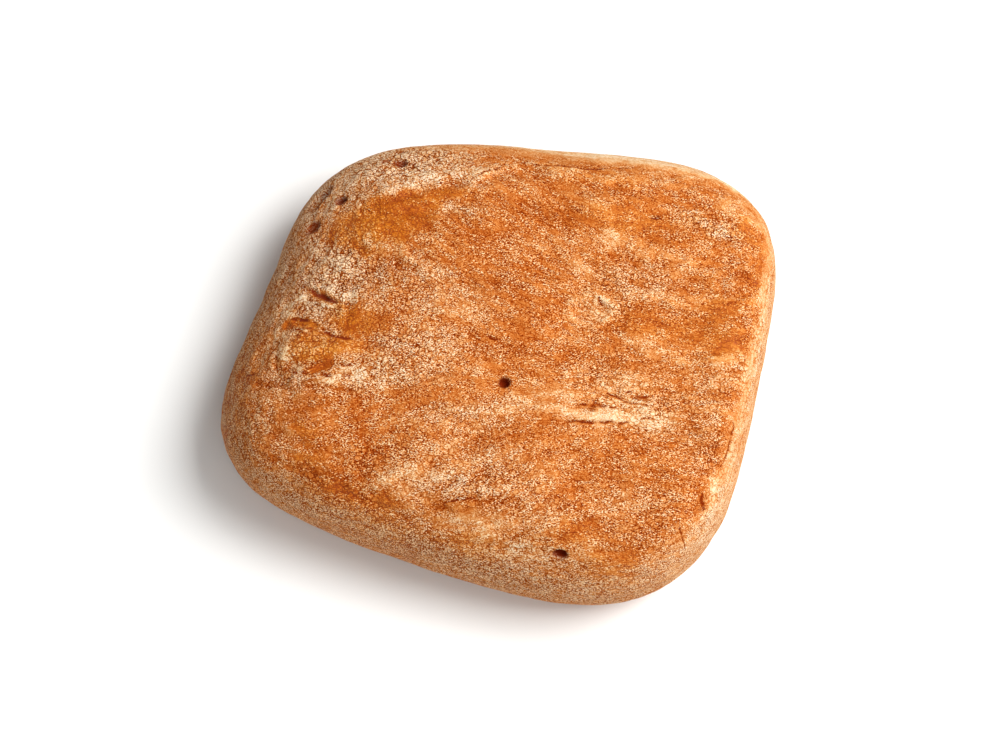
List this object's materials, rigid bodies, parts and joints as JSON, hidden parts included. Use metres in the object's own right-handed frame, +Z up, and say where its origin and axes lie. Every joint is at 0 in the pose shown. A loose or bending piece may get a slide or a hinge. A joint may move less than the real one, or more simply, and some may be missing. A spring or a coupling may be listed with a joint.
{
  "type": "ciabatta roll",
  "caption": "Low, soft-cornered square bread roll with a flat underside and an uneven, floured crust, for a bakery or a table.",
  "frame": {"origin": "middle of the bounding box's underside, on the surface that the roll lies on", "axes": "+Z up out of the browned top, +X along the longer side, -Y towards the side nearest the camera"},
  "size_m": [0.1056, 0.094, 0.0363],
  "materials": {
    "baked_crust": "dull, dry baked wheat crust dusted with flour"
  },
  "bodies": {
    "root": {"ciabatta_roll": "baked_crust"}
  },
  "joints": []
}
